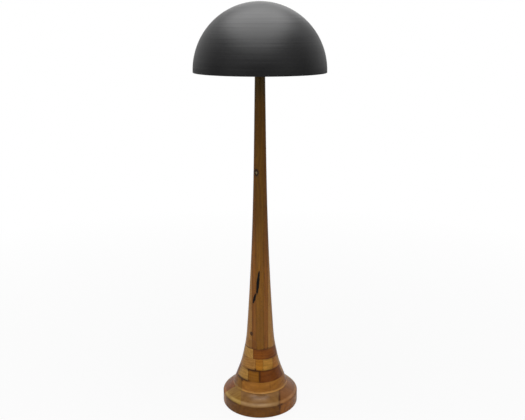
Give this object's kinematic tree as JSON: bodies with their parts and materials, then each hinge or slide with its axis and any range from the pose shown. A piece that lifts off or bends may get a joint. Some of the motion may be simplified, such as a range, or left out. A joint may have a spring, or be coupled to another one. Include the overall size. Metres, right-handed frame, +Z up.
{
  "type": "mushroom floor lamp",
  "caption": "Mushroom floor lamp: black spun metal dome shade on a tall turned wooden stem that flares into a round foot of glued blocks.",
  "frame": {"origin": "centre of the lamp's footprint, on the floor", "axes": "+Z up along the stem, -Y to the viewer's side where the switch knob points, +Y to the lead's inlet"},
  "size_m": [0.472, 0.472, 1.524],
  "materials": {
    "block_wood": "oiled, glued from blocks of mixed tone, satin",
    "shaft_wood": "oiled, upright grain, satin",
    "felt": "pressed wool felt",
    "cast_iron": "sand cast",
    "zinc_steel": "zinc plated",
    "black_nylon": "moulded",
    "brass": "pressed, bare",
    "phenolic": "moulded, semi-gloss",
    "core_ceramic": "unglazed steatite",
    "black_powder_coat": "matt powder coat on spun steel",
    "solder_tip": "soldered tip",
    "cap_glass": "black glass filler of the lamp cap",
    "cap_aluminium": "pressed",
    "frosted_glass": "frosted inside"
  },
  "bodies": {
    "lamp": {"stem_course_1": "block_wood", "stem_course_2": "block_wood", "stem_course_3": "block_wood", "stem_course_4": "block_wood", "stem_course_5": "block_wood", "stem_course_6": "block_wood", "shaft_left_edge_board": "shaft_wood", "shaft_left_board": "shaft_wood", "shaft_centre_board": "shaft_wood", "shaft_right_board": "shaft_wood", "shaft_right_edge_board": "shaft_wood", "felt_pad": "felt", "foot_weight": "cast_iron", "bottom_washer": "zinc_steel", "bottom_nut": "zinc_steel", "inlet_bushing": "black_nylon", "threaded_pipe": "zinc_steel", "seat_washer": "brass", "lock_nut": "zinc_steel", "holder_cap": "phenolic", "grip_screw": "zinc_steel", "holder_housing": "phenolic", "switch_core": "core_ceramic", "terminal_screws": "brass", "screw_shell": "brass", "centre_contact": "brass"},
    "shade": {"shade_dome": "black_powder_coat", "shade_spider": "black_powder_coat"},
    "clamp_ring": {"clamp_ring": "phenolic"},
    "bulb": {"bulb_globe": "frosted_glass", "bulb_cap": "cap_aluminium", "bulb_insulator": "cap_glass", "bulb_contact": "solder_tip"},
    "switch": {"switch_knob": "phenolic", "switch_spindle": "brass", "switch_rotor": "phenolic"}
  },
  "joints": [
    {"name": "shade_turn", "type": "hinge", "parent": "lamp", "child": "shade", "pos_m": [0, 0, 1.336], "axis": [0, 0, 1], "continuous": true},
    {"name": "clamp_ring_turn", "type": "hinge", "parent": "lamp", "child": "clamp_ring", "pos_m": [0, 0, 1.3416], "axis": [0, 0, 1], "continuous": true},
    {"name": "bulb_turn", "type": "hinge", "parent": "lamp", "child": "bulb", "pos_m": [0, 0, 1.355], "axis": [0, 0, 1], "continuous": true},
    {"name": "switch_turn", "type": "hinge", "parent": "lamp", "child": "switch", "pos_m": [0, -0.02, 1.3255], "axis": [0, -1, 0], "continuous": true}
  ]
}
